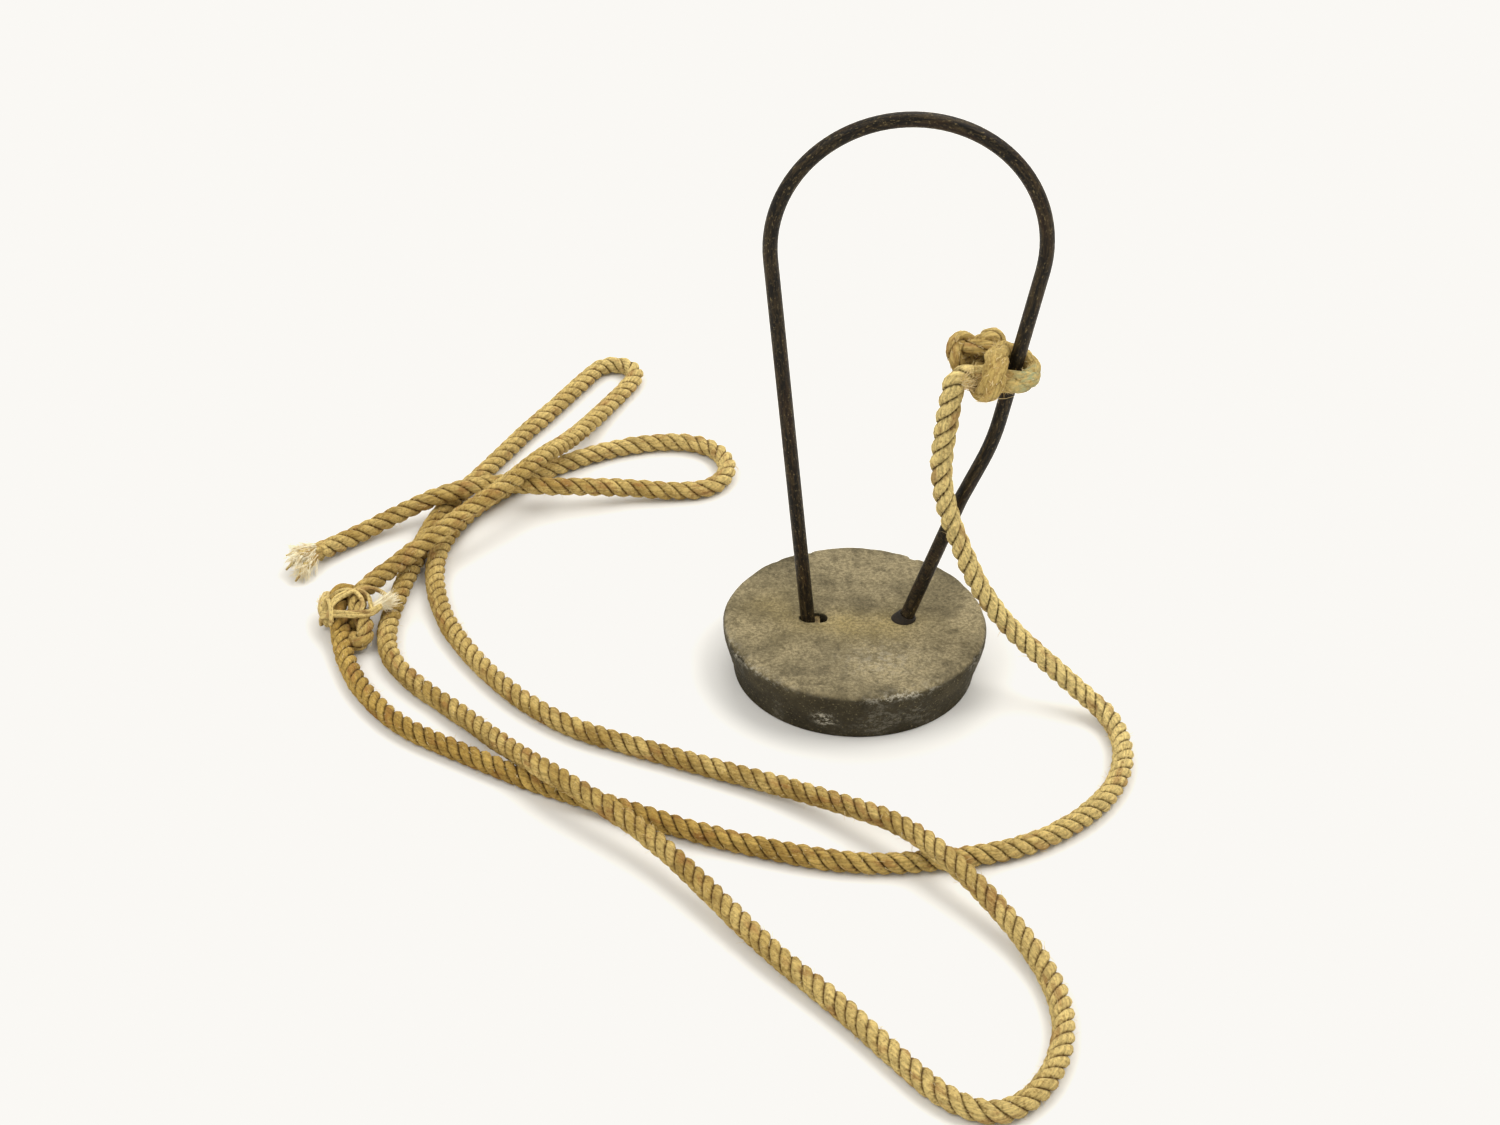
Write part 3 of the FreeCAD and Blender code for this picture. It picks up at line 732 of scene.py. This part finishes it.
def shell_paint(x, y, z, normal_z):
    """Dust, soot with painted shade, and chalk at a point of the casting, mm."""
    radius = math.hypot(x, y)
    angle = math.degrees(math.atan2(y, x))
    top = ramped(normal_z, 0.5, 0.9)
    side = 1 - ramped(normal_z, 0.2, 0.8)
    rim = hump(z, 17.6, 1.1) * ramped(radius, 40, 43)
    drift = 0.5 + 0.5 * noise.noise((x * 0.07, y * 0.07, z * 0.07))
    # Dust lies between the legs and left of them.
    dust = top * 0.55 * hump(y, -3, 9) * hump(x, 2, 26) * drift * 1.4
    dust += top * 0.30 * hump(x, -27, 13) * hump(y, 4, 14) * drift
    # Darker on the top by the holes, towards the rim and the back; painted shade darkens all of the
    # side, most near the foot.
    soot_and_shade = 0.0
    for centre_x, centre_y, size in ((-16, 5, 5), (14, 5, 5.5), (3, 9, 8)):
        soot_and_shade += top * 0.42 * hump(x, centre_x, size) * hump(y, centre_y, size * 0.7)
    soot_and_shade += top * 0.35 * ramped(radius, 33, 43) * ramped(drift, 0.45, 0.8)
    soot_and_shade += top * 0.30 * hump(x, -22, 10) * hump(y, -30, 7)
    soot_and_shade += top * 0.28 * ramped(y, 8, 38) * (0.3 + 0.7 * drift)
    soot_and_shade += side * (0.92 + 0.30 * (1 - ramped(z, 2, 13))) * (0.72 + 0.5 * drift)
    # Chalky scuffs lie on the rim, on the side at the front and right, and faintly on the top.
    chalk = side * 0.16 * ramped(drift, 0.55, 0.75)
    chalk += rim * (0.9 * hump(angle_gap(angle, -70), 0, 13)
                    + 0.5 * hump(angle_gap(angle, -150), 0, 26))
    chalk += 1.3 * side * hump(angle_gap(angle, -105), 0, 4.0) * hump(z, 7.5, 2.4)
    chalk += side * 0.35 * hump(angle_gap(angle, -12), 0, 14)
    chalk += top * 0.16 * hump(x, 8, 12) * hump(y, -24, 9)
    return min(dust, 0.8), min(soot_and_shade, 0.96), min(chalk, 0.85)


def cast_shell():
    """The CAD shell's own form, remeshed finely and given a casting's uneven skin."""
    shell = bpy.data.objects.new("shell_cast", nodes["magnet_shell"].data.copy())
    bpy.context.scene.collection.objects.link(shell)
    remesh = shell.modifiers.new("remesh", "REMESH")
    remesh.mode = "VOXEL"
    remesh.voxel_size = SHELL_VOXEL
    graph = bpy.context.evaluated_depsgraph_get()
    mesh = bpy.data.meshes.new_from_object(shell.evaluated_get(graph))
    shell.modifiers.clear()
    shell.data = mesh
    count = len(mesh.vertices)
    place = np.zeros(count * 3)
    mesh.vertices.foreach_get("co", place)
    place = place.reshape(-1, 3) / MM
    normal = np.array([vertex.normal for vertex in mesh.vertices], float)
    paint = np.zeros((count, 3))
    for index in range(count):
        x, y, z = place[index]
        across, outward_z = math.hypot(x, y), normal[index, 2]
        outside = max(ramped(across, 41.0, 42.5), ramped(z, 17.0, 18.4)) * ramped(z, 0.2, 1.6)
        if outside > 0:
            swell = SWELL * noise.noise((x * 0.055, y * 0.055, z * 0.055))
            lump = LUMPS * noise.noise((x * 0.21, y * 0.21, z * 0.21 + 5))
            rough = ROUGHNESS * noise.noise((x * 0.8, y * 0.8, z * 0.8 + 9))
            chip = -CHIP_DEPTH * ramped(noise.noise((x * 0.17 + 3, y * 0.17, z * 0.17)), 0.30, 0.60)
            edge = hump(z, DISC_HEIGHT - 1.5, 2.2) * ramped(across, 40.5, 43.0)
            place[index] += normal[index] * outside * (swell + lump + rough + chip * edge - SETTLE)
        if across > CORE_CLEAR:
            draft = FOOT_DRAFT * (1 - ramped(z, 0.0, 15.0)) * ramped(across, CORE_CLEAR, 43.0)
            place[index, :2] *= 1 - draft / across
        paint[index] = shell_paint(x, y, z, outward_z)
    place[:, 2] = np.maximum(place[:, 2], 0.0)
    mesh.vertices.foreach_set("co", (place * MM).ravel())
    mesh.polygons.foreach_set("use_smooth", [True] * len(mesh.polygons))
    for column, name in enumerate(("dust", "soot_and_shade", "chalk")):
        add_float(mesh, name, paint[:, column])
    mesh.materials.clear()
    mesh.materials.append(casting)
    mesh.update()
    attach(shell, "magnet")
    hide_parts("magnet_shell")


cast_shell()


# ---- the ropes ---------------------------------------------------------------------------
# Where the second rope is paler: the place and reach in mm, and how much.
PALE_PLACES = [
    ((-88.0, 197.0, 3.0), 22.0, 0.45), ((-46.0, 118.0, 3.0), 26.0, 0.35),
    ((-190.5, 58.5, 4.4), 14.0, 0.40), ((48.0, -180.0, 3.0), 120.0, 0.50),
]
FLOOR_LAY = 13.9                     # a strand's full turn where the rope lies flat, mm
LONG_FUZZ = 1900                     # stray fibres on each rope
SHORT_FUZZ = 750


def near(point, place, reach):
    """1 at a place, falling to 0 at its reach."""
    gap = math.dist(point, place)
    return 1 - ramped(gap, 0.0, reach)


def paint_long(s, point):
    """Paler along the far loops, at their tips, at the free end and round the near loop."""
    pale = 0.30 * ramped(point[1], 96, 130)
    for place, reach, strength in PALE_PLACES:
        pale += strength * near(point, place, reach)
    return min(pale, 0.7), 0.0


def paint_short(s, point):
    """Pale down the fall, darker along the floor."""
    pale = 0.35 * (1 - ramped(s, 4.0, 12.0)) + 0.90 * (1 - ramped(s, 120.0, 330.0))
    return min(pale, 0.92), 0.0


def lay_of_long(point):
    """The lay opens towards the far loops."""
    return FLOOR_LAY + 2.2 * ramped(point[1], 20, 100)


def lay_of_short(point):
    """The lay opens where the rope hangs."""
    return FLOOR_LAY + 2.6 * ramped(point[2], 15, 60)


def even_paint(pale):
    """The same paleness all along, and no stain."""
    return lambda s, point: (pale, 0.0)


long_line = spline_points(LONG_ROUTE)
rope_long, long_path = rope_mesh("rope_long_laid", long_line, cool_rope, phase=0.4,
                                 pitch=lay_of_long, paint=paint_long)
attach(rope_long, "magnet")
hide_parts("rope_long")
threads = surface_fuzz(rng, long_path, LONG_FUZZ, ROPE_RADIUS, 3.0)
long_fuzz = fibre_bundle("rope_long_fuzz", threads, straw_fibre)
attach(long_fuzz, "magnet")

short_line = spline_points(SHORT_ROUTE)
rope_short, short_path = rope_mesh("rope_short_laid", short_line, warm_rope, phase=1.1,
                                   pitch=lay_of_short, paint=paint_short,
                                   shape=lambda s, length: 1 + 0.12 * (1 - ramped(s, 18, 60)))
threads = surface_fuzz(rng, short_path, SHORT_FUZZ, ROPE_RADIUS, 3.0)
short_fuzz = fibre_bundle("rope_short_fuzz", threads, straw_fibre)
for piece in (rope_short, short_fuzz):
    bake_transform(piece)
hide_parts("rope_short", "rope_fall")

# ---- the free end -------------------------------------------------------------------------
opened = []
threads = []
for index, route in enumerate(END_STRANDS):
    strand, _ = rope_mesh("strand", spline_points(route), cool_rope, radius=1.9, pitch=12.0,
                          depth=0.14, steps=6, step=0.4, phase=index,
                          paint=lambda s, point: (0.25 + 0.5 * ramped(s, 2, 9), 0.0),
                          shape=lambda s, length: 1 - 0.8 * ramped(s, 0.5 * length, length))
    opened.append(strand)
    threads += tuft(rng, route[1], route[2], 90, 2.0, 0.25, 1.3, 0.16, curl=0.25)
    threads += tuft(rng, route[2], route[3], 110, 2.0, 0.40, 0.9, 0.16, curl=0.35)
end_threads = fibre_bundle("end_threads", threads, white_fibre)
end_fray = joined("long_end_tuft", opened + [end_threads])
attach(end_fray, "magnet")
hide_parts("long_end_fray")

# ---- the hitch and its stopper ------------------------------------------------------------------
ROD_POINT = Vector((42.2, 0.0, 89.0))
ROD_LEAN = Vector((0.1843, 0.0, 0.9829))
RIDING_MIDDLE = Vector((39.2, -4.0, 114.6))
RIDING_START = 42.0                  # along the hitch's line, mm
RIDING_END = 80.0                    # past this the rope is round again
FLATTENED = 0.20                     # how much thinner the pressed rope is, as a share
WIDENED = 0.15


def hitch_press(s, point):
    """The turns are squeezed against the rod, then against the turn that they ride over."""
    arm = Vector(point) - ROD_POINT
    from_rod = (arm - ROD_LEAN * arm.dot(ROD_LEAN)).normalized()
    own = Vector(point) - RIDING_MIDDLE
    own.x = 0.0
    own.normalize()
    share = ramped(s, RIDING_START - 5, RIDING_START + 5)
    direction = from_rod.lerp(own, share)
    flat = 1 - ramped(s, RIDING_END - 4, RIDING_END + 4)
    return tuple(direction), 1 - FLATTENED * flat, 1 + WIDENED * flat


def paint_hitch(s, point):
    """Pale where the fall leaves it, and greenish in front of the rod."""
    stain = 0.75 * near(point, (51.5, -6.4, 115.0), 9.0)
    return 0.16 + 0.5 * (1 - ramped(s, 2.0, 8.0)), stain


hitch_rope, hitch_path = rope_mesh("hitch_turns_laid", spline_points(WRAP_ROUTE), cool_rope,
                                   depth=0.18, pitch=23.0, paint=paint_hitch, press=hitch_press,
                                   step=0.5)
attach(hitch_rope, "hitch")
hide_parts("hitch_wrap", "hitch_riding_turn")

UP_IN_VIEW = Vector((0.0, math.sin(VIEW_PITCH), math.cos(VIEW_PITCH)))
NEAR_IN_VIEW = Vector((0.0, -math.cos(VIEW_PITCH), math.sin(VIEW_PITCH)))
stopper_route = []
for across, high, close in STOPPER_ROUTE:
    sideways = Vector(STOPPER_CENTRE) + Vector((across, 0, 0))
    stopper_route.append(tuple(sideways + UP_IN_VIEW * high + NEAR_IN_VIEW * close))
stopper, stopper_path = rope_mesh("stopper_knot_laid", spline_points(stopper_route), cool_rope,
                                  radius=STOPPER_RADIUS, pitch=21.0, depth=0.28, step=0.5,
                                  paint=even_paint(0.10))
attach(stopper, "hitch")
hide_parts("stopper_knot")

HITCH_FUZZ = 330
STOPPER_FUZZ = 260
COARSE = 0.14                        # radius of the hitch's thickest stray fibres, mm
threads = surface_fuzz(rng, hitch_path, HITCH_FUZZ, ROPE_RADIUS, 2.6, COARSE)
threads += surface_fuzz(rng, stopper_path, STOPPER_FUZZ, STOPPER_RADIUS, 2.4, COARSE)
threads += tuft(rng, (31.6, -6.0, 114.0), (35.6, -7.6, 117.2), 150, 2.0, 0.7, 1.2, 0.15)
long_hair = [(39.6, -10.2, 111.2), (41.6, -9.6, 110.2), (44.2, -9.0, 110.0), (46.6, -8.6, 110.6),
             (48.4, -8.2, 112.0)]
threads.append((long_hair, 0.11))
hitch_fuzz = fibre_bundle("hitch_fuzz", threads, straw_fibre)
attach(hitch_fuzz, "hitch")

# ---- the join --------------------------------------------------------------------------------
bight_short, bight_short_path = rope_mesh("join_bight_short_laid", spline_points(SHORT_BIGHT_ROUTE),
                                          warm_rope, phase=1.9, step=0.5,
                                          shape=lambda s, length: 1 - 0.25 * ramped(s, 20, length))
bight_long, bight_long_path = rope_mesh("join_bight_long_laid", spline_points(LONG_BIGHT_ROUTE),
                                        cool_rope, phase=0.4, pitch=15.0, step=0.5,
                                        shape=lambda s, length: 1 - 0.12 * ramped(s, 26, 36))
stub, _ = rope_mesh("join_stub", spline_points(LEFT_STUB), cool_rope, radius=2.7, depth=0.16,
                    pitch=30.0, step=0.5, paint=even_paint(0.55))
threads = tuft(rng, (-182.0, 24.5, 6.6), (-182.6, 29.2, 7.0), 150, 2.4, 0.5, 0.8, 0.13)
threads += tuft(rng, (-182.8, 20.6, 6.4), (-186.4, 20.0, 5.8), 120, 2.4, 0.7, 0.8, 0.12)
left_threads = fibre_bundle("left_threads", threads, straw_fibre)
left_tuft = joined("join_left_tuft", [stub, left_threads])
threads = tuft(rng, (-165.0, 16.4, 9.6), (-156.4, 23.6, 9.8), 230, 1.3, 0.10, 0.92, 0.17, curl=0.16)
threads += tuft(rng, (-162.8, 18.0, 9.6), (-157.8, 22.6, 9.8), 60, 1.2, 0.5, 0.9, 0.10)
right_tuft = fibre_bundle("join_right_tuft", threads, white_fibre)
yarns = []
for index, route in enumerate(BAND_YARNS + ARCH_YARNS):
    yarn, _ = rope_mesh("yarn", spline_points(route), cool_rope, radius=YARN_RADIUS, pitch=24.0,
                        depth=0.16, steps=5, step=0.35, phase=index, paint=even_paint(0.55))
    yarns.append(yarn)
lashing = joined("join_lashing_yarn", yarns)
threads = surface_fuzz(rng, bight_short_path, 40, ROPE_RADIUS, 2.4)
threads += surface_fuzz(rng, bight_long_path, 60, ROPE_RADIUS, 2.4)
join_fuzz = fibre_bundle("join_fuzz", threads, straw_fibre)
for piece, replaced, slot in (
        (bight_short, "join_bight_short", "rope_fibre"), (bight_long, "join_bight_long", "rope_fibre"),
        (left_tuft, "join_fray_left", "frayed_fibre"), (right_tuft, "join_fray_right", "frayed_fibre"),
        (lashing, "join_lashing", "lashing_yarn"), (join_fuzz, None, "frayed_fibre")):
    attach(piece, "magnet")
    if replaced:
        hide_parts(replaced)


# ---- stage, light and camera ------------------------------------------------------------
KEY_POWER = 15.0                     # watts
FILL_POWER = 11.0
BACK_POWER = 12.0
SKY_COLOUR = (1.0, 0.99, 0.975, 1.0)
SKY_STRENGTH = 0.80
PAPER_WHITE = (0.955, 0.940, 0.905)  # where full red, green and blue end up
FLOOR_TONES = ((0.780, 0.772, 0.752), (0.796, 0.790, 0.770))
CAMERA_PLACE = (-0.03546, -0.68689, 0.50439)
CAMERA_ROLL = math.radians(0.56)
CAMERA_LENS = 60.0
SENSOR_WIDTH = 36.0


def make_stage():
    """A large pale floor, just under the magnet's foot."""
    size = 4.0
    corners = [(-size, -size, 0), (size, -size, 0), (size, size, 0), (-size, size, 0)]
    shader = Shader("pale_floor", roughness=0.9, specular=0.1)
    place = shader.object_space()
    tone = shader.noise(place, 1.5, detail=2.0)
    base = shader.mix(shader.span(tone, 0.3, 0.7), *FLOOR_TONES)
    floor = make_object("floor", corners, [(0, 1, 2, 3)], shader.finish(base), smooth=False)
    floor.location.z = -0.2 * MM


def area_light(name, place, size, power):
    """A round soft light that faces the origin."""
    data = bpy.data.lights.new(name, "AREA")
    data.shape = "DISK"
    data.size = size
    data.energy = power
    lamp = bpy.data.objects.new(name, data)
    lamp.location = place
    direction = Vector((0.0, 0.0, 0.0)) - Vector(place)
    lamp.rotation_euler = direction.to_track_quat("-Z", "Y").to_euler()
    bpy.context.scene.collection.objects.link(lamp)


def make_camera():
    """The photograph's point of view: along +Y, tilted down and rolled a little."""
    forward = Vector((0.0, math.cos(VIEW_PITCH), -math.sin(VIEW_PITCH)))
    right = Vector((1.0, 0.0, 0.0))
    right.rotate(Matrix.Rotation(-CAMERA_ROLL, 3, forward))
    up = right.cross(forward)
    data = bpy.data.cameras.new("camera")
    data.lens = CAMERA_LENS
    data.sensor_width = SENSOR_WIDTH
    camera = bpy.data.objects.new("camera", data)
    turn = Matrix((right, up, -forward)).transposed().to_4x4()
    camera.matrix_world = Matrix.Translation(Vector(CAMERA_PLACE)) @ turn
    bpy.context.scene.collection.objects.link(camera)
    bpy.context.scene.camera = camera


make_stage()
area_light("key_right", (1.0, 0.0, 1.5), 1.2, KEY_POWER)
area_light("fill_left", (-1.0, -0.5, 1.4), 1.2, FILL_POWER)
area_light("top_back", (0.2, 1.0, 1.5), 1.4, BACK_POWER)
world = bpy.data.worlds.new("studio")
world.use_nodes = True
sky = world.node_tree.nodes["Background"]
sky.inputs["Color"].default_value = SKY_COLOUR
sky.inputs["Strength"].default_value = SKY_STRENGTH
bpy.context.scene.world = world

view = bpy.context.scene.view_settings
view.view_transform = "Standard"
view.use_curve_mapping = True        # paper white a little below full white, and slightly warm
for curve, white in zip(view.curve_mapping.curves, PAPER_WHITE):
    curve.points[-1].location = (1.0, white)
view.curve_mapping.extend = "HORIZONTAL"
view.curve_mapping.update()
make_camera()
